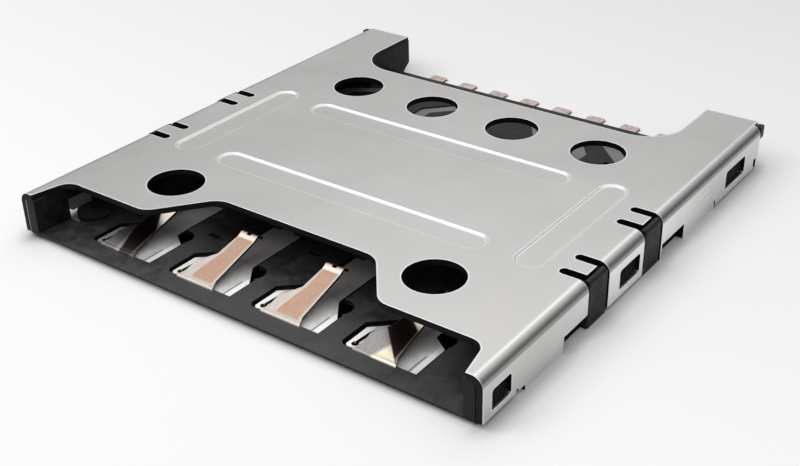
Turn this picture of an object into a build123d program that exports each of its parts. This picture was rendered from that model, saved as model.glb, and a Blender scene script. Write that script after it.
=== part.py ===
from build123d import *
import os

os.makedirs("parts", exist_ok=True)

# The card and its contact grid
card_width = 12.0
card_thickness = 0.84
contact_pitch = 2.54
row_spacing = 7.62
contacts_per_row = 4

# Running gaps round the card
card_side_gap = 0.10
card_height_gap = 0.04
card_end_margin = 1.95

# Sheet and wall thicknesses
shell_sheet = 0.15
terminal_sheet = 0.06
guide_wall = 0.33
floor_thickness = 0.15
floor_skin = 0.05
seat_gap = 0.02
shell_fit_gap = 0.02

# Depths from the front edge or from the card stop
first_row = 2.10
lug_length = 2.03
centre_edge_setback = 0.65
floor_overhang = 1.08
tail_overhang = 0.10

# Heights worked out from the seating plane up
floor_bottom = seat_gap
floor_top = floor_bottom + floor_thickness
roof = floor_top + card_thickness + card_height_gap
top = roof + shell_sheet
plate_bottom = floor_bottom + floor_skin

# Half widths worked out from the card outwards
guide_inner = card_width / 2 + card_side_gap
guide_outer = guide_inner + guide_wall
shell_inner = guide_outer + shell_fit_gap
shell_outer = shell_inner + shell_sheet

# Depths worked out from the front edge back
rows = [first_row, first_row + row_spacing]
card_stop = rows[-1] + card_end_margin
body_depth = card_stop + lug_length
centre_edge = card_stop - centre_edge_setback
floor_end = card_stop + floor_overhang
overall_depth = body_depth + tail_overhang
front = -overall_depth / 2

columns = [(i - (contacts_per_row - 1) / 2) * contact_pitch for i in range(contacts_per_row)]


def mirrored(points):
    """Points given for the right half, closed over the centre line."""
    return points + [(-x, y) for x, y in reversed(points)]


def both_sides(x, y):
    """A place and its mirror image, with y counted from the front edge."""
    return [(x, front + y), (-x, front + y)]


# Shell: outline of the top plate
recess_half = 2.30
recess_depth = 2.40
lobe_half = 3.40
lobe_setback = 1.00
ear_width = 0.40
ear_root_width = 0.60
recess_round = 0.60
lobe_round = 0.50
ear_round = 0.38
lug_width = 1.63
lug_round = 1.10
lug_setback = 0.10
bend_radius = 0.12

# Shell: side walls
wall_end_setback = 0.35
bend_relief = 0.20
latch_height = 0.50
latch_sill = 0.25
latch_round = 0.08
last_latch_start = 2.48
last_latch_end = 1.28
latch_spans = [(0.33, 1.02), (5.50, 6.45), (body_depth - last_latch_start, body_depth - last_latch_end)]
skirt_rise = 0.40
skirt_slant = 0.12
skirt_spans = [(2.95, 4.20), (7.50, 8.80)]
edge_rise = 0.08
front_edge_rise = 0.14
front_edge_span = (-0.10, 1.55)
mid_edge_span = (4.90, 6.90)
rear_edge_span = (10.66, body_depth)
nick_width = 0.10
nick_height = 0.22
nick_places = [1.25, 10.62]
rear_slot_width = 0.16
rear_slot_height = 0.35
rear_slot_setback = 0.55

# Shell: slits beside the wall's two gaps
slit_width = 0.24
slit_spacing = 0.68
slit_length = 0.77
gap_places = [4.51, 7.09]
tongue_setback = 0.19
tongue_overlap = 0.05

# Shell: holes and beads
hole_diameter = 1.40
front_hole_place = 2.45
rear_hole_offset = -0.10
bead_depth = 0.04
bead_slope = 45
bead_width = 0.72
side_bead_length = 4.45
side_bead_inset = 1.51
side_bead_place = 6.07
cross_bead_length = 7.95
cross_bead_places = [4.16, 7.83]

# Housing
lead_in_length = 0.60
lead_in_flare = 0.06
relief_diameter = 1.15
relief_plug_diameter = 0.95
relief_plug_inward = 0.03
relief_plug_back = 0.12
relief_inset = 0.60
relief_place = 1.52
relief_height = 0.70
column_clearance = 0.04
column_proud = 0.16
column_root = 0.10
column_round = 0.05
column_crown = 0.10
column_crown_chamfer = 0.06
corner_height = 0.32
latch_clearance = 0.05
latch_proud = 0.10
rail_length = 0.40
rail_height = 0.40
floor_edge_chamfer = 0.10
lug_block_inset = 0.05
lug_chamfer_length = 0.40
lug_chamfer_height = 0.32
punch_width = 0.34
punch_length = 0.14
punch_offsets = [0.25, 0.97, 0.25]
pocket_gap = 0.10
waist_recess_diameter = 0.60

# Terminals: places along a row's own depth are counted from its contact point
plate_left = 1.00
plate_right = 0.83
plate_front = 1.54
plate_corner = 0.10
left_shoulder = 0.72
left_neck = 0.20
right_shoulder = 0.85
right_neck = 0.29
outer_shoulder = 0.48
outer_neck = 0.20
neck_half = 0.42
plate_back = 1.40
rim_slot_width = 0.09
rim_slot = [(-0.84, -1.34), (-0.80, -0.84), (-0.50, -0.40)]
rim_slot_end_diameter = 0.17
lead_width = 0.40
front_jog_start = 4.00
front_jog_end = 2.50
rear_jog_gap = 0.10
fold_front = 1.60
fold_gap = 0.03
fold_flat = 0.0018
hem_overlap = 0.40
beam_left_side = [(-0.72, -1.60), (-0.62, -1.36), (-0.62, -1.08), (-0.28, -0.66), (-0.22, 0.0)]
beam_right_side = [(0.28, 0.0), (0.30, -1.36), (0.40, -1.60)]
beam_rise_start = 1.50
crest_place = 0.03
crest_height = 0.61
tip_length = 0.12
tip_height = 0.70
tip_round = 0.05
tip_end = 0.26
tip_drop = 0.10
tip_notch = 0.12
tip_notch_place = 0.06
tail_pitch = 1.10
tail_width = 0.52
tail_neck_width = 0.34
tail_neck_length = 0.38
tail_slope_length = 0.16
tail_flat_length = 0.08
tail_corner = 0.05

def in_row(y, row):
    """A depth counted from a row's contact point, in the model's frame."""
    return front + rows[row] + y


def prism(points, z0, z1):
    """A straight block of a plan outline, between two heights."""
    with BuildPart() as block:
        with BuildSketch(Plane.XY.offset(z0)):
            with BuildLine():
                Polyline(*points, close=True)
            make_face()
        extrude(amount=z1 - z0)
    return block.part


def side_block(points, half_span):
    """A block right across the part, drawn in the side view as (y, z)."""
    with BuildPart() as block:
        with BuildSketch(Plane.YZ):
            with BuildLine():
                Polyline(*[(front + y, z) for y, z in points], close=True)
            make_face()
        extrude(amount=half_span, both=True)
    return block.part


# The stamped and folded shell
sheet_middle = shell_inner + shell_sheet / 2
wall_end = body_depth - wall_end_setback
margin = 1.0
near = 0.01
below = -margin
beyond = shell_outer + margin

with BuildPart() as shell:
    with BuildSketch(Plane.XZ.offset(-front)):
        with BuildLine():
            FilletPolyline(
                (-sheet_middle, 0),
                (-sheet_middle, top - shell_sheet / 2),
                (sheet_middle, top - shell_sheet / 2),
                (sheet_middle, 0),
                radius=bend_radius + shell_sheet / 2,
            )
        trace(line_width=shell_sheet)
    extrude(amount=-(body_depth - lug_setback))

    # Front edge: centre recess, two lobes and two ears
    with BuildSketch(Plane.XY.offset(roof - bend_radius)) as front_cut:
        with BuildLine():
            Polyline(
                *mirrored(
                    [
                        (recess_half, front + recess_depth),
                        (lobe_half, front + lobe_setback),
                        (shell_outer - ear_root_width, front + lobe_setback),
                        (shell_outer - ear_width, front),
                        (shell_outer - ear_width, front - margin),
                    ]
                ),
                close=True,
            )
        make_face()
        corners = front_cut.vertices().group_by(Axis.Y)
        fillet(corners[-1], recess_round)
        fillet(front_cut.vertices().filter_by(lambda v: abs(abs(v.X) - lobe_half) < near), lobe_round)
        ear_corners = (
            front_cut.vertices()
            .filter_by(lambda v: abs(v.Y - front - lobe_setback) < near)
            .filter_by(lambda v: abs(v.X) > shell_outer - ear_root_width - near)
        )
        fillet(ear_corners, ear_round)
    extrude(amount=margin, mode=Mode.SUBTRACT)

    # Back edge: the two lugs stand past the centre edge
    with BuildSketch(Plane.XY.offset(roof - bend_radius)) as back_cut:
        with Locations((0, front + centre_edge)):
            Rectangle(
                2 * (shell_outer - lug_width), body_depth, align=(Align.CENTER, Align.MIN)
            )
        fillet(back_cut.vertices().group_by(Axis.Y)[0], lug_round)
    extrude(amount=margin, mode=Mode.SUBTRACT)

    # The side walls and bends stop short of the lug ends
    with BuildSketch(Plane.XY):
        with Locations(*both_sides(beyond - bend_relief, wall_end)):
            Rectangle(2 * margin, margin, align=(Align.CENTER, Align.MIN))
    extrude(amount=top + margin, mode=Mode.SUBTRACT)

    # Slits at both sides of each wall gap
    slits = [place + side * slit_spacing / 2 for place in gap_places for side in (-1, 1)]
    with BuildSketch(Plane.XY.offset(below)):
        for slit in slits:
            with Locations(*both_sides(beyond, slit)):
                SlotOverall(2 * (slit_length + beyond - shell_outer), slit_width)
    extrude(amount=top + 2 * margin, mode=Mode.SUBTRACT)
    with BuildSketch(Plane.XY.offset(below)):
        for place in gap_places:
            with Locations(*both_sides(beyond, place)):
                Rectangle(2 * (beyond - shell_inner + bend_radius), slit_spacing)
    extrude(amount=top + 2 * margin, mode=Mode.SUBTRACT)

    # A flat tongue of the top plate stays over each gap
    tongue_width = slit_spacing - slit_width
    tongue_end = shell_outer - tongue_setback
    tongue_root = shell_inner - bend_radius - tongue_overlap
    with BuildSketch(Plane.XY.offset(roof)):
        for place in gap_places:
            with Locations(*both_sides((tongue_end + tongue_root) / 2, place)):
                Rectangle(tongue_end - tongue_root, tongue_width)
    extrude(amount=shell_sheet)

    # Lower edges of the walls: skirts, feet and nicks
    for start, end in skirt_spans:
        add(
            side_block(
                [(start, below), (start + skirt_slant, skirt_rise), (end, skirt_rise), (end, below)],
                beyond,
            ),
            mode=Mode.SUBTRACT,
        )
    for (start, end), rise in [
        (front_edge_span, front_edge_rise),
        (mid_edge_span, edge_rise),
        (rear_edge_span, edge_rise),
    ]:
        add(
            side_block([(start, below), (start, rise), (end, rise), (end, below)], beyond),
            mode=Mode.SUBTRACT,
        )
    for place in nick_places:
        add(
            side_block(
                [
                    (place - nick_width / 2, below),
                    (place - nick_width / 2, nick_height),
                    (place + nick_width / 2, nick_height),
                    (place + nick_width / 2, below),
                ],
                beyond,
            ),
            mode=Mode.SUBTRACT,
        )
    slot_middle = body_depth - rear_slot_setback
    add(
        side_block(
            [
                (slot_middle - rear_slot_width / 2, below),
                (slot_middle - rear_slot_width / 2, rear_slot_height),
                (slot_middle + rear_slot_width / 2, rear_slot_height),
                (slot_middle + rear_slot_width / 2, below),
            ],
            beyond,
        ),
        mode=Mode.SUBTRACT,
    )

    # Latch windows in both walls
    with BuildSketch(Plane.YZ):
        for start, end in latch_spans:
            with Locations((front + (start + end) / 2, latch_sill + latch_height / 2)):
                RectangleRounded(end - start, latch_height, latch_round)
    extrude(amount=beyond, both=True, mode=Mode.SUBTRACT)

    # Round inspection holes over the contact points
    outer_columns = [columns[0], columns[-1]]
    with BuildSketch(Plane.XY.offset(roof - bend_radius)):
        with Locations(*[(x, front + front_hole_place) for x in outer_columns]):
            Circle(hole_diameter / 2)
        with Locations(*[(x, in_row(rear_hole_offset, 1)) for x in columns]):
            Circle(hole_diameter / 2)
    extrude(amount=margin, mode=Mode.SUBTRACT)

    # Stiffening beads, pressed down into the plate
    bead_places = [
        ((side, front + side_bead_place), side_bead_length, 90)
        for side in (shell_outer - side_bead_inset, side_bead_inset - shell_outer)
    ]
    bead_places += [((0, front + place), cross_bead_length, 0) for place in cross_bead_places]
    for place, length, turn in bead_places:
        with BuildSketch(Plane.XY.offset(roof)):
            with Locations(place):
                SlotOverall(length, bead_width, rotation=turn)
        extrude(amount=-bead_depth, taper=bead_slope)
        with BuildSketch(Plane.XY.offset(top)):
            with Locations(place):
                SlotOverall(length, bead_width, rotation=turn)
        extrude(amount=-bead_depth, taper=bead_slope, mode=Mode.SUBTRACT)

shell.part.label = "shell"


def lead_path(row, column):
    """Plan route of one terminal's lead, from its plate to its solder tail."""
    x = columns[column]
    side = 1 if x > 0 else -1
    own_edge = x + (plate_right if side > 0 else -plate_left)
    next_plate = x + side * contact_pitch - (plate_left if side > 0 else -plate_right)
    outer = abs(x) > contact_pitch
    lane = (own_edge + (side * guide_inner if outer else next_plate)) / 2
    places = sorted([abs(c) for c in columns if c > 0])
    tail_rank = 2 * places.index(min(places, key=lambda p: abs(p - abs(x))))
    tail_rank += 1 if row == 0 else 0
    tail_x = side * (tail_rank + 0.5) * tail_pitch
    start = in_row(plate_back, row) - lead_width / 2
    jog_start = in_row(plate_back + rear_jog_gap, 1)
    jog_end = front + floor_end - rail_length - rear_jog_gap
    points = [(x, start)]
    if row == 0:
        points += [(x, in_row(-front_jog_start, 1)), (lane, in_row(-front_jog_end, 1)), (lane, jog_start)]
    else:
        points += [(x, jog_start)]
    points += [(tail_x, jog_end), (tail_x, front + floor_end)]
    return points


def waist(row, column):
    """Depths of a plate's right shoulder and neck; the outer front plates are longer."""
    longer = row == 0 and abs(columns[column]) > contact_pitch
    return (outer_shoulder, outer_neck) if longer else (right_shoulder, right_neck)


def plate_outline(row, column, gap=0.0):
    """Plan outline of one terminal's plate, or of the pocket that leaves a gap round it."""
    x = columns[column]
    shoulder, neck = waist(row, column)
    outline = [
        (-neck_half - gap, plate_back),
        (-neck_half - gap, gap - left_neck),
        (-plate_left - gap, gap - left_shoulder),
        (-plate_left - gap, plate_corner - plate_front),
        (-plate_left - gap + plate_corner, -plate_front),
        (plate_right + gap / 2, -plate_front),
        (plate_right + gap / 2, gap - shoulder),
        (neck_half + gap, gap - neck),
        (neck_half + gap, plate_back),
    ]
    return [(x + px, in_row(py, row)) for px, py in outline]


def make_terminal(row, column):
    """One stamped terminal: plate, folded-back spring beam, lead and solder tail."""
    x = columns[column]
    path = lead_path(row, column)
    tail_x = path[-1][0]
    middle = plate_bottom + terminal_sheet / 2
    beam_middle = middle + terminal_sheet + fold_gap
    fold_radius = (terminal_sheet + fold_gap - fold_flat) / 2
    fold_middle = in_row(-fold_front, row) + terminal_sheet / 2
    with BuildPart() as terminal:
        # Spring beam: folded over at the front, rising to the crest and its raised, hooked tip
        with BuildSketch(Plane.YZ.offset(x)):
            with BuildLine():
                folded = FilletPolyline(
                    (fold_middle + hem_overlap, middle),
                    (fold_middle, middle),
                    (fold_middle, beam_middle),
                    (in_row(-beam_rise_start, row), beam_middle),
                    radius=fold_radius,
                )
                rising = Line(folded @ 1, (in_row(-crest_place, row), crest_height))
                FilletPolyline(
                    rising @ 1,
                    (in_row(tip_length, row), tip_height),
                    (in_row(tip_end, row), tip_height - tip_drop),
                    radius=tip_round,
                )
            trace(line_width=terminal_sheet)
        extrude(amount=plate_left, both=True)
        tip_left = beam_left_side[-1][0]
        tip_right = beam_right_side[0][0]
        beam_end = 2 * tip_end
        beam_outline = beam_left_side + [(tip_left, beam_end), (tip_right, beam_end)] + beam_right_side
        with BuildSketch(Plane.XY.offset(below)):
            with BuildLine():
                Polyline(*[(x + px, in_row(py, row)) for px, py in beam_outline], close=True)
            make_face()
            with Locations((x + (tip_left + tip_right) / 2, in_row(tip_notch_place, row))):
                Rectangle(tip_notch, beam_end, align=(Align.CENTER, Align.MIN), mode=Mode.SUBTRACT)
        extrude(amount=top + margin, mode=Mode.INTERSECT)

        # Plate and lead in the floor
        with BuildSketch(Plane.XY.offset(plate_bottom)):
            with BuildLine():
                Polyline(*plate_outline(row, column), close=True)
            make_face()
            with BuildLine():
                Polyline(*path)
            trace(line_width=lead_width)
        extrude(amount=terminal_sheet)

        # Slot that parts the plate's rim from the beam, with a round end
        slot_points = [(x + px, in_row(py, row)) for px, py in rim_slot]
        with BuildSketch(Plane.XY.offset(plate_bottom)):
            with BuildLine():
                Polyline(*slot_points)
            trace(line_width=rim_slot_width)
            with Locations(slot_points[0]):
                RegularPolygon(rim_slot_end_diameter / 2, 8)
        extrude(amount=terminal_sheet, mode=Mode.SUBTRACT)

        # Solder tail: steps down to the seating plane behind the floor
        tail_start = front + floor_end
        neck_end = tail_start + tail_neck_length
        tail_end = front + overall_depth
        with BuildSketch(Plane.YZ.offset(tail_x)):
            with BuildLine():
                Polyline(
                    (tail_start - tail_flat_length, middle),
                    (tail_start + tail_flat_length, middle),
                    (tail_start + tail_flat_length + tail_slope_length, terminal_sheet / 2),
                    (neck_end + tail_flat_length, terminal_sheet / 2),
                )
            trace(line_width=terminal_sheet)
        extrude(amount=tail_neck_width / 2, both=True)
        with BuildSketch(Plane.XY) as pad:
            with Locations((tail_x, neck_end)):
                Rectangle(tail_width, tail_end - neck_end, align=(Align.CENTER, Align.MIN))
            chamfer(pad.vertices(), tail_corner)
        extrude(amount=terminal_sheet)
    return terminal


terminals = {}
for row, row_name in enumerate(("front", "rear")):
    for column in range(contacts_per_row):
        terminal = make_terminal(row, column)
        terminal.part.label = f"terminal_{row_name}_{column + 1}"
        terminals[terminal.part.label] = terminal.part


# The moulded housing
with BuildPart() as housing:
    # Floor
    with BuildSketch(Plane.XY.offset(floor_bottom)):
        with Locations((0, front)):
            Rectangle(2 * guide_outer, floor_end, align=(Align.CENTER, Align.MIN))
    extrude(amount=floor_thickness)

    # Card guides, flared at the mouth, and the two rear blocks that stop the card
    lug_inner = shell_outer - lug_width + lug_block_inset
    guide = [
        (guide_outer, front),
        (guide_outer, front + body_depth),
        (lug_inner, front + body_depth),
        (lug_inner, front + card_stop),
        (guide_inner, front + card_stop),
        (guide_inner, front + lead_in_length),
        (guide_inner + lead_in_flare, front),
    ]
    for points in (guide, [(-px, py) for px, py in guide]):
        with BuildSketch(Plane.XY.offset(floor_bottom)):
            with BuildLine():
                Polyline(*points, close=True)
            make_face()
        extrude(amount=roof - floor_bottom)

    # Rear lower corner of each block is cut away
    add(
        side_block(
            [
                (body_depth - lug_chamfer_length, below),
                (body_depth - lug_chamfer_length, floor_bottom),
                (body_depth, floor_bottom + lug_chamfer_height),
                (body_depth + margin, floor_bottom + lug_chamfer_height),
                (body_depth + margin, below),
            ],
            guide_outer,
        ),
        mode=Mode.SUBTRACT,
    )

    # Outer top edges follow the inside of the shell's bends
    outer_edges = (
        housing.edges()
        .filter_by(Axis.Y)
        .filter_by(lambda e: abs(abs(e.center().X) - guide_outer) < near and e.center().Z > roof - near)
    )
    chamfer(outer_edges, bend_radius - shell_fit_gap)

    # Columns fill the gaps in the shell's walls
    column_length = slit_spacing + slit_width - 2 * column_clearance
    with BuildSketch(Plane.XY.offset(floor_bottom)):
        for place in gap_places:
            with Locations(*both_sides(guide_outer + (column_proud - column_root) / 2, place)):
                RectangleRounded(column_proud + column_root, column_length, column_round)
    extrude(amount=roof - floor_bottom)

    # Each column ends in a chamfered crown beyond the shell's tongue
    column_face = guide_outer + column_proud
    crown_root = tongue_end + column_clearance
    with BuildSketch(Plane.XY.offset(roof - column_crown)):
        for place in gap_places:
            with Locations(*both_sides((crown_root + column_face) / 2, place)):
                Rectangle(column_face - crown_root, column_length - 2 * column_round)
    extrude(amount=2 * column_crown)
    crown_edges = (
        housing.edges()
        .filter_by(Axis.Y)
        .filter_by(lambda e: abs(e.center().X) > column_face - near and e.center().Z > roof + near)
    )
    chamfer(crown_edges, column_crown_chamfer)

    # Small corner blocks show behind the rear ends of the shell's bends
    corner_start = wall_end + column_clearance
    corner_end = body_depth - lug_setback
    with BuildSketch(Plane.XY.offset(roof + column_crown - corner_height)):
        with Locations(*both_sides((guide_outer + column_face) / 2, (corner_start + corner_end) / 2)):
            Rectangle(column_face - guide_outer, corner_end - corner_start)
    extrude(amount=corner_height)

    # Latch bumps stand in the windows of the walls
    with BuildSketch(Plane.YZ.offset(guide_outer - latch_clearance)):
        for start, end in latch_spans:
            with Locations((front + (start + end) / 2, latch_sill + latch_height / 2)):
                Rectangle(end - start - 2 * latch_clearance, latch_height - 2 * latch_clearance)
    bump = extrude(amount=latch_proud + latch_clearance)
    mirror(bump, about=Plane.YZ)

    # Round reliefs at the two front corners, open to below as a crescent
    relief_centres = both_sides(shell_outer - relief_inset, relief_place)
    plug_x = shell_outer - relief_inset - relief_plug_inward
    with BuildSketch(Plane.XY.offset(below)):
        with Locations(*relief_centres):
            Circle(relief_diameter / 2)
        with Locations(*both_sides(plug_x, relief_place + relief_plug_back)):
            Circle(relief_plug_diameter / 2, mode=Mode.SUBTRACT)
    extrude(amount=floor_top - below, mode=Mode.SUBTRACT)
    with BuildSketch(Plane.XY.offset(floor_top)):
        with Locations(*relief_centres):
            Circle(relief_diameter / 2)
    extrude(amount=relief_height - floor_top, mode=Mode.SUBTRACT)

    # Bottom front edge
    add(
        side_block(
            [
                (floor_edge_chamfer, below),
                (floor_edge_chamfer, floor_bottom),
                (0, floor_bottom + floor_edge_chamfer),
                (-margin, floor_bottom + floor_edge_chamfer),
                (-margin, below),
            ],
            beyond,
        ),
        mode=Mode.SUBTRACT,
    )

    # Grooves over the plates and leads, and the rail that holds the tails
    for row in range(len(rows)):
        for column in range(contacts_per_row):
            add(prism(plate_outline(row, column, pocket_gap), plate_bottom, roof), mode=Mode.SUBTRACT)
            with BuildSketch(Plane.XY.offset(plate_bottom)):
                with BuildLine():
                    Polyline(*lead_path(row, column))
                trace(line_width=lead_width)
            extrude(amount=floor_top - plate_bottom, mode=Mode.SUBTRACT)
    with BuildSketch(Plane.XY.offset(floor_bottom)):
        with Locations((0, front + floor_end - rail_length)):
            Rectangle(
                2 * (lug_inner + lug_block_inset), rail_length, align=(Align.CENTER, Align.MIN)
            )
    extrude(amount=rail_height)

    # Windows through the floor where the terminal strip was cut apart
    lanes = [(a + b) / 2 for a, b in zip(columns, columns[1:])]
    with BuildSketch(Plane.XY.offset(below)):
        with Locations(*[(x, in_row(offset, 0)) for x, offset in zip(lanes, punch_offsets)]):
            Rectangle(punch_width, punch_length)
    extrude(amount=floor_top - below, mode=Mode.SUBTRACT)

    # Round recesses beside the waists, where pins held the front plates in the mould
    with BuildSketch(Plane.XY.offset(plate_bottom)):
        for column, x in enumerate(columns):
            waist_middle = in_row(pocket_gap - sum(waist(0, column)) / 2, 0)
            with Locations((x + (plate_right + neck_half) / 2, waist_middle)):
                Circle(waist_recess_diameter / 2)
    extrude(amount=floor_top - plate_bottom, mode=Mode.SUBTRACT)

    # The terminals are moulded in
    for terminal in terminals.values():
        add(terminal, mode=Mode.SUBTRACT)

housing.part.label = "housing"

export_step(shell.part, "parts/shell.step")
export_step(housing.part, "parts/housing.step")
for name, terminal in terminals.items():
    export_step(terminal, f"parts/{name}.step")
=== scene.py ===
import math

import bpy
from mathutils import Matrix, Vector

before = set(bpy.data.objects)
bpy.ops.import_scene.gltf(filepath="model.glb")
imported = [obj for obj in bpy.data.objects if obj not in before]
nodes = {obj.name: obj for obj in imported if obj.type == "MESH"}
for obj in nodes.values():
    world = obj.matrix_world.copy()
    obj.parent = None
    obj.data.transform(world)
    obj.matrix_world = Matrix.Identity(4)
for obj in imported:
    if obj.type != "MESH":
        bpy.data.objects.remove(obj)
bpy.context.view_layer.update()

MM = 0.001


def span(low, high):
    """Two lengths in millimetres, in metres."""
    return low * MM, high * MM


# Camera: set up from the photograph's perspective
CAMERA_PLACE = Vector((16.15, -22.03, 14.49)) * MM
CAMERA_TURN = math.radians(36.44)
CAMERA_DROP = math.radians(29.52)
CAMERA_ROLL = math.radians(-1.03)
FOCAL_LENGTH = 54.25
SENSOR_WIDTH = 36.0
CAMERA_SHIFT = (-0.0115, -0.0042)
CLIP_START = 0.001
CLIP_END = 10.0

# Ground: half its side, its tones from front to back with painted shade darker towards the back,
# and the painted shade where the walls stand on it
GROUND_HALF = 0.6
GROUND_SPAN = span(-6.0, 22.0)
GROUND_SHADE_TONES = (0.88, 0.72)
GROUND_ROUGHNESS = 0.9
GROUND_SHEEN = 0.1
CONTACT_REACH = 0.5 * MM
CONTACT_RIGHT = span(6.3, 6.7)
CONTACT_LEFT = span(-6.4, -5.8)
CONTACT_SAMPLES = 8

# Sky: its brightness by the height of the direction, one dark corner behind the part's right side,
# and two steps by the direction's x: where each starts and ends, and the levels on its two sides
SKY_STOPS = [
    (0.0, 0.21),
    (0.24, 0.41),
    (0.36, 0.65),
    (0.46, 0.73),
    (0.53, 0.94),
    (0.59, 1.31),
    (1.0, 1.32),
]
DARK_CORNER = (0.648, 0.690, 0.324)
DARK_CORNER_SPAN = (0.74, 0.90)
DARK_CORNER_LEVEL = 0.60
LEFT_STEP = ((-0.80, -0.58), (0.70, 1.0))
MIDDLE_STEP = ((-0.46, -0.34), (1.0, 0.90))

# Lamps: the way to each, then its distance and side in metres, and its brightness
LAMPS = {
    "key": ((-0.52, -0.50, 0.70), 0.09, 0.045, 2.3),
    "rim": ((-0.06, 0.70, 0.71), 0.12, 0.03, 0.7),
}

# Places on the part, in its own frame
SHEET_INSIDE = 6.42 * MM
COLUMNS = 4
CONTACT_PITCH = 2.54 * MM
FRONT_ROW = -4.80 * MM
ROW_SPACING = 7.62 * MM
FLOOR_TOP = 0.17 * MM

# Ranges of masks
FALLING = (1.0, 0.0)
WHOLE = (0.0, 1.0)
NOISE_SPAN = (0.3, 0.7)
BEVEL_SAMPLES = 6
EDGE_START = 0.997
EDGE_FULL = 0.86

# Noises: scale, detail and roughness
SHEET_GRAIN_STRETCH = (900, 9000, 3000)
SHEET_GRAIN = (4.0, 4.0, 0.6)
SHEET_CLOUD = (420.0, 3.0, 0.55)
SHEET_SPECKLE = (26000.0, 2.0, 0.55)
MOULDING_MOTTLE = (2600.0, 5.0, 0.65)
MOULDING_FINE = (15000.0, 3.0, 0.6)
PLATING_GRAIN_STRETCH = (9000, 1200, 4000)
PLATING_GRAIN = (4.0, 3.0, 0.55)
PLATING_CLOUD = (1500.0, 3.0, 0.55)
TIN_PATCHES = (9000.0, 3.0, 0.55)

# Skins: the radius that edges are rounded to, then the strength and depth of the relief
SHEET_SKIN = (0.025 * MM, 0.04, 0.0010 * MM)
MOULDING_SKIN = (0.03 * MM, 0.6, 0.005 * MM)
PLATING_SKIN = (0.015 * MM, 0.3, 0.0012 * MM)

# Shell: tones in linear light, with painted shade on cut faces and bends and painted highlights on
# edges, beads and walls; then its masks: cut faces, bends and walls by the way they face, beads by
# how far they lean, and the walls' painted paler middle by its place along the part
SHEET_TONES = ((0.60, 0.592, 0.580, 1), (0.655, 0.648, 0.636, 1))
SHEET_EDGE_HIGHLIGHT = (0.94, 0.935, 0.925, 1)
CUT_SHADE_TONES = ((0.008, 0.008, 0.008, 1), (0.030, 0.029, 0.028, 1))
BEND_SHADE = (0.12, 0.118, 0.115, 1)
BEAD_HIGHLIGHT = (0.86, 0.855, 0.845, 1)
WALL_HIGHLIGHT = (0.95, 0.945, 0.935, 1)
SHEET_EDGE_WIDTH = 0.075 * MM
SHEET_EDGE_FULL = 0.93
CLOUD_SHARE = (0.0, 0.85)
GRAIN_SHARE = (0.0, 0.15)
CUT_UPRIGHT = (0.45, 0.35)
CUT_LENGTHWISE = (0.25, 0.35)
CUT_INSIDE = (SHEET_INSIDE, SHEET_INSIDE + 0.01 * MM)
BEND_START = (0.56, 0.88)
BEND_END = (0.98, 0.999)
BEND_RISE = (0.05, 0.15)
BEND_DEPTH = (0.0, 0.62)
PLATE_FIELD = (SHEET_INSIDE - 0.1 * MM, SHEET_INSIDE)
BEAD_SLOPES = (0.60, 0.985)
BEAD_SOFTNESS = 0.01
BEAD_HIGHLIGHT_SHARE = 0.65
WALL_FACING = (0.995, 0.999)
WALL_HIGHLIGHT_LEVELS = (0.0, 0.6)
WALL_FRONT = span(-4.6, -1.5)
WALL_FRONT_PALE = (0.0, 1.66)
WALL_BACK = span(0.5, 3.5)
WALL_BACK_PALE = (1.0, 0.15)
SHEET_ROUGHNESS = (0.26, 0.31)
SHEET_GRAIN_ROUGHNESS = (0.0, 0.015)
SHEARED_ROUGHNESS = 0.6
SHEET_METAL = (1.0, 0.35)
SHEET_RELIEF = (0.6, 0.4)

# Housing: tones, with lying faces painted paler than upright ones as painted light, then the parts
# of it painted darker than the open floor in front as painted shade
SHADED_UPRIGHT_TONES = ((0.006, 0.0058, 0.0062, 1), (0.015, 0.0147, 0.015, 1))
LIT_LYING_TONES = ((0.018, 0.0182, 0.0180, 1), (0.044, 0.0445, 0.0435, 1))
SUNK_SHADE = (0.0012, 0.0012, 0.0012, 1)
WINDOW_SHADE = (0.002, 0.002, 0.002, 1)
MOULDING_EDGE_HIGHLIGHT = (0.05, 0.049, 0.05, 1)
MOULDING_EDGE_WIDTH = 0.03 * MM
MOULDING_EDGE_SHARE = 0.3
MOTTLE_SPAN = (0.36, 0.64)
LYING_FACING = (0.2, 0.9)
OPEN_FRONT = (FRONT_ROW - 1.0 * MM, FRONT_ROW + 0.6 * MM)
OPEN_FRONT_LEVELS = (1.0, 0.25)
FLOOR_SURFACE = (FLOOR_TOP - 0.01 * MM, FLOOR_TOP - 0.004 * MM)
SUNK_FACING = (0.85, 0.95)
WINDOW_BUMPS = (SHEET_INSIDE - 0.1 * MM, SHEET_INSIDE + 0.13 * MM)
WINDOW_SOFTNESS = 0.01 * MM
WINDOW_FACING = (0.8, 0.9)
WINDOW_DULL = 0.8
MOULDING_SHEEN = (0.14, 0.45)
MOULDING_ROUGHNESS = (0.42, 0.55)
MOULDING_RELIEF = (0.5, 0.5)

# Terminals: tones of the plate, the neck, the beam and the tails; painted highlights on rims and
# edges, painted shade on the crease, neck and sides
PLATE_TONES = ((0.42, 0.418, 0.412, 1), (0.92, 0.915, 0.90, 1))
PLATE_RIM_HIGHLIGHT = (0.96, 0.955, 0.94, 1)
PLATE_CREASE_SHADE = (0.10, 0.095, 0.09, 1)
NECK_SHADE_TONES = ((0.17, 0.16, 0.157, 1), (0.27, 0.26, 0.255, 1))
CREAM_TONES = ((0.44, 0.405, 0.37, 1), (0.73, 0.67, 0.61, 1))
TIP_TONE = (0.40, 0.33, 0.29, 1)
COPPER_TONES = ((0.38, 0.235, 0.165, 1), (0.60, 0.40, 0.30, 1))
SHADED_SILVER_TONES = ((0.22, 0.21, 0.205, 1), (0.42, 0.40, 0.39, 1))
WARM_HIGHLIGHT = (0.86, 0.79, 0.62, 1)
LIT_TONE = (0.86, 0.77, 0.68, 1)
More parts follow.
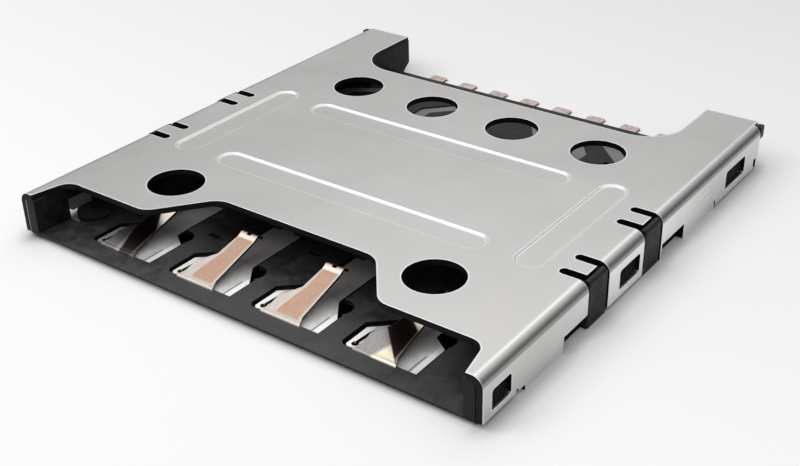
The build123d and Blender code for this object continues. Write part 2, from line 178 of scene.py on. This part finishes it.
GLOOM_TONE = (0.022, 0.013, 0.012, 1)
LEFT_SHADE_TONE = (0.10, 0.092, 0.088, 1)
TINNED_TONES = ((0.36, 0.27, 0.245, 1), (0.60, 0.50, 0.465, 1))
PLATING_EDGE_HIGHLIGHT = (0.92, 0.87, 0.80, 1)
SIDE_SHADE = (0.035, 0.022, 0.018, 1)

# Terminals: places across them from their middle and along them from their contact point
BEAM_HEIGHT = span(0.135, 0.150)
RIM_RIGHT = span(0.68, 0.70)
RIM_LEFT = span(-0.86, -0.84)
CREASE_ACROSS = span(0.63, 0.66)
CREASE_ALONG = span(-1.50, -0.88)
CREASE_SIDE_SOFTNESS = 0.01 * MM
CREASE_END_SOFTNESS = 0.02 * MM
NECK_START = span(-0.80, -0.20)
SEEN_NECK_END = span(0.9, 1.1)
FLARE_ALONG = span(-1.30, -0.60)
FLARE_LEFT_EDGE = span(-0.36, -0.19)
STRIP_LEFT = span(-0.02, 0.02)
STRIP_RIGHT = span(0.22, 0.26)
STRIP_ALONG = span(-1.47, -0.04)
STRIP_END_SOFTNESS = 0.03 * MM
TIP_START = span(0.03, 0.06)
TIP_LEVELS = (0.0, 0.75)
GLOOM_RIGHT = span(0.24, 0.27)
GLOOM_LEVELS = (1.0, 0.75)
DIM_LEFT = span(-0.30, -0.20)
TAIL_START = span(5.8, 5.9)
FOLD_END = span(-1.48, -1.44)
LINE_SOFTNESS = 0.02 * MM
WARM_GLINT_SOFTNESS = 0.05 * MM

# Terminals: edges, sides and gloss
PATCH_SPAN = (0.34, 0.66)
PLATING_EDGE_WIDTH = 0.02 * MM
PLATING_EDGE_SHARE = 0.5
SIDE_FACING = (0.55, 0.75)
SIDE_LEVELS = (0.0, 0.92)
PLATING_ROUGHNESS = (0.28, 0.36)
PLATE_METAL = (0.95, 0.30)
NECK_METAL = (1.0, 0.2)

# The two necks painted paler where they show through the shell's rear holes, partly their pinkish
# metal and partly painted light through the holes: their darkest and palest tones
SEEN_NECKS = {
    "terminal_rear_3": ((0.40, 0.33, 0.31, 1), (0.70, 0.60, 0.57, 1)),
    "terminal_rear_4": ((0.62, 0.50, 0.46, 1), (0.90, 0.78, 0.73, 1)),
}

# The two outer front beams, in the shade of the shell's lobes, with painted shade and a painted
# warm highlight. A slanted line is the weights of
# across and along, and their sum in mm: where the painted shade starts, where it ends, and where
# the painted warm highlight starts. `left_dim` is how dark the painted shade on the left side is.
SHADED_BEAMS = {
    "terminal_front_1": {
        "start": (1.0, 0.29, -0.55),
        "end": (1.0, 0.66, -0.18),
        "warm_glint": (1.0, 0.0, 0.40),
        "left_dim": 0.7,
    },
    "terminal_front_4": {
        "start": (1.0, 1.0, -1.20),
        "end": (0.72, 1.0, -0.44),
        "warm_glint": (1.0, -0.48, 0.52),
        "left_dim": 0.0,
    },
}


def new_material(name):
    """An empty node material with its shader and output in place."""
    material = bpy.data.materials.new(name)
    material.use_nodes = True
    tree = material.node_tree
    tree.nodes.clear()
    shader = tree.nodes.new("ShaderNodeBsdfPrincipled")
    output = tree.nodes.new("ShaderNodeOutputMaterial")
    tree.links.new(shader.outputs["BSDF"], output.inputs["Surface"])
    return material, tree, shader


def set_inputs(tree, made, inputs):
    """Gives a node's sockets their links and values."""
    for key, value in inputs.items():
        if isinstance(value, bpy.types.NodeSocket):
            tree.links.new(value, made.inputs[key])
        else:
            made.inputs[key].default_value = value


def node(tree, kind, inputs=None, **settings):
    """One node, with its properties set by name and its sockets through `inputs`."""
    made = tree.nodes.new(kind)
    for key, value in settings.items():
        setattr(made, key, value)
    set_inputs(tree, made, inputs or {})
    return made


def math_node(tree, operation, *values, clamp=False):
    """The result of one sum on sockets or numbers."""
    inputs = dict(enumerate(values))
    made = node(tree, "ShaderNodeMath", inputs, operation=operation, use_clamp=clamp)
    return made.outputs[0]


def times(tree, first, second, clamp=False):
    """The product of two values."""
    return math_node(tree, "MULTIPLY", first, second, clamp=clamp)


def plus(tree, first, second):
    """The sum of two values."""
    return math_node(tree, "ADD", first, second)


def blended(tree, first, second, shares):
    """Two values added in given shares."""
    return plus(tree, times(tree, first, shares[0]), times(tree, second, shares[1]))


def most(tree, first, second):
    """The larger of two values."""
    return math_node(tree, "MAXIMUM", first, second)


def inverse(tree, mask):
    """0 where a mask is 1, and 1 where it is 0."""
    return math_node(tree, "SUBTRACT", 1.0, mask)


def absolute(tree, value):
    """The size of a value, without its sign."""
    return math_node(tree, "ABSOLUTE", value)


def axes(tree, vector):
    """A vector's x, y and z."""
    return tuple(node(tree, "ShaderNodeSeparateXYZ", {0: vector}).outputs)


def object_place(tree):
    """The point on the surface, in metres in the part's own frame."""
    return node(tree, "ShaderNodeTexCoord").outputs["Object"]


def smooth_normal(tree):
    """The mesh's shading normal, which turns evenly over the bends."""
    return node(tree, "ShaderNodeNewGeometry").outputs["Normal"]


def flat_normal(tree):
    """The normal of each flat face of the mesh."""
    return node(tree, "ShaderNodeNewGeometry").outputs["True Normal"]


def stretched(tree, scale):
    """The surface point scaled along each axis, for grain that runs one way."""
    mapping = node(tree, "ShaderNodeMapping", {"Vector": object_place(tree), "Scale": scale})
    return mapping.outputs[0]


def noise(tree, place, scale, detail, roughness):
    """Fractal noise from 0 to 1 at a place."""
    inputs = {"Vector": place, "Scale": scale, "Detail": detail, "Roughness": roughness}
    return node(tree, "ShaderNodeTexNoise", inputs).outputs["Fac"]


def spread(tree, value, limits, levels=WHOLE):
    """A value moved from one range to another, held inside it."""
    inputs = {
        "Value": value,
        "From Min": limits[0],
        "From Max": limits[1],
        "To Min": levels[0],
        "To Max": levels[1],
    }
    return node(tree, "ShaderNodeMapRange", inputs).outputs[0]


def band(tree, value, limits, soft):
    """1 where a value lies between two limits, with soft ends."""
    low, high = limits
    rise = spread(tree, value, (low - soft, low + soft))
    fall = spread(tree, value, (high - soft, high + soft), FALLING)
    return times(tree, rise, fall)


def mix_colour(tree, factor, first, second):
    """Two colours mixed by a factor."""
    inputs = {0: factor, 6: first, 7: second}
    return node(tree, "ShaderNodeMix", inputs, data_type="RGBA").outputs[2]


def rounded_normal(tree, radius):
    """The normal as it would be with the edges rounded to a radius."""
    return node(tree, "ShaderNodeBevel", {"Radius": radius}, samples=BEVEL_SAMPLES).outputs[0]


def edge_mask(tree, width, full=EDGE_FULL):
    """1 along sharp edges, 0 on the flats; `full` says how far a corner turns to count in full."""
    both = {0: rounded_normal(tree, width), 1: smooth_normal(tree)}
    likeness = node(tree, "ShaderNodeVectorMath", both, operation="DOT_PRODUCT").outputs["Value"]
    return spread(tree, likeness, (EDGE_START, full))


def skin(tree, relief, radius, strength, depth):
    """The shading normal: edges rounded to a small radius, with a relief on top."""
    inputs = {
        "Strength": strength,
        "Distance": depth,
        "Height": relief,
        "Normal": rounded_normal(tree, radius),
    }
    return node(tree, "ShaderNodeBump", inputs).outputs[0]


def cut_faces(tree):
    """1 on the sheared edges of the shell, 0 on its rolled faces and bends."""
    x = axes(tree, object_place(tree))[0]
    _, facing_y, facing_z = axes(tree, flat_normal(tree))
    upright = spread(tree, absolute(tree, facing_z), CUT_UPRIGHT)
    lengthwise = spread(tree, absolute(tree, facing_y), CUT_LENGTHWISE)
    inner = spread(tree, absolute(tree, x), CUT_INSIDE, FALLING)
    return times(tree, upright, most(tree, lengthwise, inner))


def bend_mask(tree):
    """Painted shade: how dark the rolled bends between the plate and the walls are painted."""
    facing_x, _, facing_z = axes(tree, smooth_normal(tree))
    sideways = absolute(tree, facing_x)
    start = spread(tree, sideways, BEND_START)
    sides = times(tree, start, spread(tree, sideways, BEND_END, FALLING))
    return times(tree, sides, spread(tree, facing_z, BEND_RISE, BEND_DEPTH))


def shell_material():
    """Satin stainless sheet: fine rolled grain and soft marks, with painted shade on the cut edges
    and bends and painted highlights on the rims, beads and walls.
    """
    material, tree, shader = new_material("satin_stainless")
    grain = noise(tree, stretched(tree, SHEET_GRAIN_STRETCH), *SHEET_GRAIN)
    cloud = noise(tree, object_place(tree), *SHEET_CLOUD)
    speckle = noise(tree, object_place(tree), *SHEET_SPECKLE)
    x, y, _ = axes(tree, object_place(tree))

    # Where the sheet is cut, and where painted highlights make its edges, beads and walls pale
    edges = edge_mask(tree, SHEET_EDGE_WIDTH, SHEET_EDGE_FULL)
    cut = cut_faces(tree)
    uncut = inverse(tree, cut)
    plate = spread(tree, absolute(tree, x), PLATE_FIELD, FALLING)
    slopes = band(tree, axes(tree, smooth_normal(tree))[2], BEAD_SLOPES, BEAD_SOFTNESS)
    bead = times(tree, plate, slopes)
    facing = spread(tree, absolute(tree, axes(tree, flat_normal(tree))[0]), WALL_FACING, WALL_HIGHLIGHT_LEVELS)
    wall = times(tree, facing, inverse(tree, plate))
    painted_highlight = most(tree, most(tree, times(tree, bead, BEAD_HIGHLIGHT_SHARE), edges), wall)
    along_wall = times(
        tree,
        spread(tree, y, WALL_FRONT, WALL_FRONT_PALE),
        spread(tree, y, WALL_BACK, WALL_BACK_PALE),
    )
    wall_highlight = times(tree, wall, along_wall, clamp=True)

    cloud_share = spread(tree, cloud, NOISE_SPAN, CLOUD_SHARE)
    tone = plus(tree, cloud_share, spread(tree, grain, NOISE_SPAN, GRAIN_SHARE))
    # Painted highlight: a bright line along the sheet's edges
    rolled = mix_colour(tree, edges, mix_colour(tree, tone, *SHEET_TONES), SHEET_EDGE_HIGHLIGHT)
    # Painted shade: the cut faces are painted nearly black
    colour = mix_colour(tree, cut, rolled, mix_colour(tree, speckle, *CUT_SHADE_TONES))
    # Painted shade on the rolled bends
    colour = mix_colour(tree, bend_mask(tree), colour, BEND_SHADE)
    # Painted highlight on the beads' slopes
    colour = mix_colour(tree, bead, colour, BEAD_HIGHLIGHT)
    # Painted highlight: the walls painted paler in their middle
    colour = mix_colour(tree, times(tree, wall_highlight, uncut), colour, WALL_HIGHLIGHT)

    cloud_rough = spread(tree, cloud, NOISE_SPAN, SHEET_ROUGHNESS)
    rough = plus(tree, cloud_rough, spread(tree, grain, NOISE_SPAN, SHEET_GRAIN_ROUGHNESS))
    relief = blended(tree, grain, speckle, SHEET_RELIEF)
    finish = {
        "Base Color": colour,
        # Less metal where the painted highlights lie, so they show paler
        "Metallic": spread(tree, times(tree, painted_highlight, uncut), WHOLE, SHEET_METAL),
        "Roughness": most(tree, rough, times(tree, cut, SHEARED_ROUGHNESS)),
        "Normal": skin(tree, relief, *SHEET_SKIN),
    }
    set_inputs(tree, shader, finish)
    return material


def housing_material():
    """Matt black glass-filled moulding, mottled, with painted light where it lies open and painted
    shade darkest in its recesses and windows.
    """
    material, tree, shader = new_material("black_moulding")
    mottle = spread(tree, noise(tree, object_place(tree), *MOULDING_MOTTLE), MOTTLE_SPAN)
    fine = noise(tree, object_place(tree), *MOULDING_FINE)
    x, y, z = axes(tree, object_place(tree))
    facing_x, _, facing_z = axes(tree, flat_normal(tree))

    # Painted light: faces that look up are paler than upright ones, most of all on the open floor
    # in front; painted shade darkens it towards the back under the shell
    surface = spread(tree, z, FLOOR_SURFACE)
    opened = times(tree, spread(tree, y, OPEN_FRONT, OPEN_FRONT_LEVELS), surface)
    level = times(tree, spread(tree, facing_z, LYING_FACING), opened)
    upright = mix_colour(tree, mottle, *SHADED_UPRIGHT_TONES)
    body = mix_colour(tree, level, upright, mix_colour(tree, mottle, *LIT_LYING_TONES))

    # Painted shade: recesses below the floor's surface, and the bumps that fill the windows in the
    # walls, painted nearly black
    sunk = times(tree, spread(tree, facing_z, SUNK_FACING), inverse(tree, surface))
    # Painted shade in the recesses
    body = mix_colour(tree, sunk, body, SUNK_SHADE)
    outer = band(tree, absolute(tree, x), WINDOW_BUMPS, WINDOW_SOFTNESS)
    window_shade = times(tree, outer, spread(tree, absolute(tree, facing_x), WINDOW_FACING))
    # Painted shade: the bumps in the wall windows are painted nearly black
    body = mix_colour(tree, window_shade, body, WINDOW_SHADE)

    # Painted highlight: a paler line along the moulding's edges
    edges = times(tree, edge_mask(tree, MOULDING_EDGE_WIDTH), MOULDING_EDGE_SHARE)
    dull_and_shaded = most(tree, sunk, times(tree, window_shade, WINDOW_DULL))
    relief = blended(tree, mottle, fine, MOULDING_RELIEF)
    finish = {
        "Base Color": mix_colour(tree, edges, body, MOULDING_EDGE_HIGHLIGHT),
        "Roughness": spread(tree, mottle, NOISE_SPAN, MOULDING_ROUGHNESS),
        "Specular IOR Level": times(
            tree, spread(tree, level, WHOLE, MOULDING_SHEEN), inverse(tree, dull_and_shaded)
        ),
        "Normal": skin(tree, relief, *MOULDING_SKIN),
    }
    set_inputs(tree, shader, finish)
    return material


def beyond_line(tree, across, along, line, soft=LINE_SOFTNESS):
    """1 on the far side of a slanted line over the strip, 0 on the near side."""
    across_weight, along_weight, place = line
    weighted_along = times(tree, along, along_weight)
    weighted = math_node(tree, "MULTIPLY_ADD", across, across_weight, weighted_along)
    return spread(tree, weighted, (place * MM - soft, place * MM + soft))


def terminal_plate(tree, name, across, along, grain, dull_and_shaded):
    """The strip at floor level: a pale plate with painted highlights on its rims and painted shade
    along a crease, and a neck darkened by painted shade.
    """
    plate = mix_colour(tree, grain, *PLATE_TONES)
    # Painted highlight: bright rims along both sides of the plate
    right_rim_highlight = spread(tree, across, RIM_RIGHT)
    rim_highlights = most(tree, right_rim_highlight, spread(tree, across, RIM_LEFT, FALLING))
    plate = mix_colour(tree, rim_highlights, plate, PLATE_RIM_HIGHLIGHT)
    # Painted shade: a dark line along a crease in the plate
    crease_shade = times(
        tree,
        band(tree, across, CREASE_ACROSS, CREASE_SIDE_SOFTNESS),
        band(tree, along, CREASE_ALONG, CREASE_END_SOFTNESS),
    )
    plate = mix_colour(tree, crease_shade, plate, PLATE_CREASE_SHADE)
    # Painted shade: the neck under the shell is painted darker
    neck = mix_colour(tree, grain, *NECK_SHADE_TONES)
    if name in SEEN_NECKS:
        # Painted light where the neck shows through a rear hole, over its pinkish metal
        seen = mix_colour(tree, grain, *SEEN_NECKS[name])
        neck = mix_colour(tree, spread(tree, along, SEEN_NECK_END, FALLING), neck, seen)
    return mix_colour(tree, dull_and_shaded, plate, neck)


def open_beam(tree, across, along, grain, raised, floor_level):
    """A beam in full light: pale flare and edges, a rose strip between them, and a darker tip."""
    left_edge = spread(tree, along, FLARE_ALONG, FLARE_LEFT_EDGE)
    from_left = math_node(tree, "SUBTRACT", across, left_edge)
    strip = times(
        tree,
        spread(tree, from_left, STRIP_LEFT),
        spread(tree, across, STRIP_RIGHT, FALLING),
    )
    length = band(tree, along, STRIP_ALONG, STRIP_END_SOFTNESS)
    rose = times(tree, times(tree, strip, length), raised)
    tip = times(tree, raised, spread(tree, along, TIP_START, TIP_LEVELS))
    pale = mix_colour(tree, tip, mix_colour(tree, grain, *CREAM_TONES), TIP_TONE)
    level = mix_colour(tree, raised, floor_level, pale)
    return mix_colour(tree, rose, level, mix_colour(tree, grain, *COPPER_TONES))


def shaded_beam(tree, across, along, grain, raised, floor_level, lines):
    """A beam under a lobe, in painted shade: shaded silver in front of a slanted band of painted
    shade, lit cream beyond it, and a painted warm highlight past another slanted line.
    """
    # Painted highlight: a warm glint on the metal beyond a slanted line
    warm_glint = beyond_line(tree, across, along, lines["warm_glint"], WARM_GLINT_SOFTNESS)
    ended = beyond_line(tree, across, along, lines["end"])
    metal = mix_colour(tree, warm_glint, mix_colour(tree, grain, *SHADED_SILVER_TONES), WARM_HIGHLIGHT)
    metal = mix_colour(tree, ended, metal, LIT_TONE)
    # Painted shade: a slanted dark band across the beam
    started = beyond_line(tree, across, along, lines["start"])
    gloom = times(tree, started, inverse(tree, ended))
    gloom = times(tree, gloom, spread(tree, across, GLOOM_RIGHT, GLOOM_LEVELS))
    body = mix_colour(tree, raised, floor_level, mix_colour(tree, gloom, metal, GLOOM_TONE))
    # Painted shade on the left side of the beam
    dim = spread(tree, across, DIM_LEFT, (lines["left_dim"], 0.0))
    return mix_colour(tree, dim, body, LEFT_SHADE_TONE)


def terminal_material(name, x, contact_y):
    """Plated copper alloy: pale plate, a neck darkened by painted shade, cream and rose beam, and
    pinkish tinned tail, with painted highlights on edges and painted shade on the sides.
    """
    material, tree, shader = new_material(name)
    place_x, place_y, place_z = axes(tree, object_place(tree))
    across = math_node(tree, "SUBTRACT", place_x, x)
    along = math_node(tree, "SUBTRACT", place_y, contact_y)
    raised = spread(tree, place_z, BEAM_HEIGHT)
    flat = spread(tree, place_z, BEAM_HEIGHT, FALLING)
    grain = noise(tree, stretched(tree, PLATING_GRAIN_STRETCH), *PLATING_GRAIN)
    cloud = noise(tree, object_place(tree), *PLATING_CLOUD)

    dull_and_shaded = times(tree, spread(tree, along, NECK_START), flat)
    floor_level = terminal_plate(tree, name, across, along, grain, dull_and_shaded)
    if name in SHADED_BEAMS:
        lines = SHADED_BEAMS[name]
        body = shaded_beam(tree, across, along, grain, raised, floor_level, lines)
    else:
        body = open_beam(tree, across, along, grain, raised, floor_level)

    # The tinned tail, painted highlights on the edges and painted shade on the sides of the strip
    patches = spread(tree, noise(tree, object_place(tree), *TIN_PATCHES), PATCH_SPAN)
    tinned = mix_colour(tree, patches, *TINNED_TONES)
    colour = mix_colour(tree, spread(tree, place_y, TAIL_START), body, tinned)
    # Painted highlight along the strip's edges
    edges = times(tree, edge_mask(tree, PLATING_EDGE_WIDTH), PLATING_EDGE_SHARE)
    colour = mix_colour(tree, edges, colour, PLATING_EDGE_HIGHLIGHT)
    # Painted shade: the strip's sides are painted nearly black
    facing_x = axes(tree, flat_normal(tree))[0]
    side = spread(tree, absolute(tree, facing_x), SIDE_FACING, SIDE_LEVELS)

    # The plate and the front fold are less metallic than the beam, and the neck least of all
    folded = spread(tree, along, FOLD_END, FALLING)
    front_metal = spread(tree, most(tree, flat, folded), WHOLE, PLATE_METAL)
    finish = {
        "Base Color": mix_colour(tree, side, colour, SIDE_SHADE),
        "Metallic": times(tree, front_metal, spread(tree, dull_and_shaded, WHOLE, NECK_METAL)),
        "Roughness": spread(tree, cloud, NOISE_SPAN, PLATING_ROUGHNESS),
        "Normal": skin(tree, grain, *PLATING_SKIN),
    }
    set_inputs(tree, shader, finish)
    return material


def dress(name, material):
    """Gives a carried-over node its finish."""
    mesh = nodes[name].data
    mesh.materials.clear()
    mesh.materials.append(material)


def dress_all():
    """Finishes for the shell, the housing and the eight terminals."""
    dress("shell", shell_material())
    dress("housing", housing_material())
    for row, row_name in enumerate(("front", "rear")):
        for column in range(COLUMNS):
            name = f"terminal_{row_name}_{column + 1}"
            x = (column - (COLUMNS - 1) / 2) * CONTACT_PITCH
            dress(name, terminal_material(name, x, FRONT_ROW + row * ROW_SPACING))


def make_floor():
    """A pale ground that the part stands on, with painted shade darker towards the back and where
    the walls meet it.
    """
    bpy.ops.mesh.primitive_plane_add(size=2 * GROUND_HALF, location=(0, 0, 0))
    floor = bpy.context.object
    floor.name = "floor"
    material, tree, shader = new_material("pale_ground")
    x, y, _ = axes(tree, object_place(tree))
    # Painted shade: the ground darker towards the back, and darker where the walls meet it
    tone = spread(tree, y, GROUND_SPAN, GROUND_SHADE_TONES)
    right = spread(tree, x, CONTACT_RIGHT)
    near = most(tree, right, spread(tree, x, CONTACT_LEFT, FALLING))
    reach = {"Distance": CONTACT_REACH}
    shade = node(tree, "ShaderNodeAmbientOcclusion", reach, samples=CONTACT_SAMPLES).outputs["AO"]
    contact = plus(tree, times(tree, near, shade), inverse(tree, near))
    grey = times(tree, tone, contact)
    colour = node(tree, "ShaderNodeCombineColor", {0: grey, 1: grey, 2: grey}).outputs[0]
    finish = {
        "Base Color": colour,
        "Roughness": GROUND_ROUGHNESS,
        "Specular IOR Level": GROUND_SHEEN,
    }
    set_inputs(tree, shader, finish)
    floor.data.materials.append(material)


def make_sky():
    """A pale studio dome, greyer towards the horizon, with a dark corner and two dimmed sides."""
    world = bpy.data.worlds.new("studio")
    bpy.context.scene.world = world
    world.use_nodes = True
    tree = world.node_tree
    tree.nodes.clear()
    direction = node(tree, "ShaderNodeTexCoord").outputs["Generated"]
    sideways, _, height = axes(tree, direction)
    ramp = node(tree, "ShaderNodeValToRGB", {0: height})
    stops = ramp.color_ramp.elements
    while len(stops) < len(SKY_STOPS):
        stops.new(0.5)
    top = max(value for _, value in SKY_STOPS)
    for stop, (place, value) in zip(stops, SKY_STOPS):
        stop.position = place
        stop.color = (value / top, value / top, value / top, 1)

    both = {0: direction, 1: DARK_CORNER}
    nearness = node(tree, "ShaderNodeVectorMath", both, operation="DOT_PRODUCT").outputs["Value"]
    corner = spread(tree, nearness, DARK_CORNER_SPAN, (1.0, DARK_CORNER_LEVEL))
    sides = times(
        tree,
        spread(tree, sideways, *LEFT_STEP),
        spread(tree, sideways, *MIDDLE_STEP),
    )
    strength = times(tree, times(tree, corner, sides), top)
    light = {"Color": ramp.outputs[0], "Strength": strength}
    background = node(tree, "ShaderNodeBackground", light)
    output = node(tree, "ShaderNodeOutputWorld")
    tree.links.new(background.outputs[0], output.inputs[0])


def soft_box(name, direction, distance, size, strength):
    """A square lamp that faces the part from one side, with a given brightness of its own."""
    lamp = bpy.data.lights.new(name, "AREA")
    lamp.size = size
    lamp.energy = strength * math.pi * size * size
    box = bpy.data.objects.new(name, lamp)
    box.location = Vector(direction).normalized() * distance
    box.rotation_euler = Vector(direction).to_track_quat("Z", "Y").to_euler()
    bpy.context.scene.collection.objects.link(box)


def make_lights():
    """A soft box at the front left and a narrower one behind, over the dome's own light."""
    for name, (direction, distance, size, strength) in LAMPS.items():
        soft_box(name, direction, distance, size, strength)


def make_camera():
    """The photograph's viewpoint."""
    data = bpy.data.cameras.new("camera")
    data.sensor_width = SENSOR_WIDTH
    data.sensor_fit = "HORIZONTAL"
    data.lens = FOCAL_LENGTH
    data.shift_x, data.shift_y = CAMERA_SHIFT
    data.clip_start = CLIP_START
    data.clip_end = CLIP_END
    camera = bpy.data.objects.new("camera", data)
    bpy.context.scene.collection.objects.link(camera)
    turn = Matrix.Rotation(CAMERA_TURN, 4, "Z")
    tilt = Matrix.Rotation(math.radians(90) - CAMERA_DROP, 4, "X")
    roll = Matrix.Rotation(CAMERA_ROLL, 4, "Z")
    camera.matrix_world = Matrix.Translation(CAMERA_PLACE) @ turn @ tilt @ roll
    bpy.context.scene.camera = camera


dress_all()
make_floor()
make_sky()
make_lights()
make_camera()
bpy.context.scene.view_settings.view_transform = "Standard"
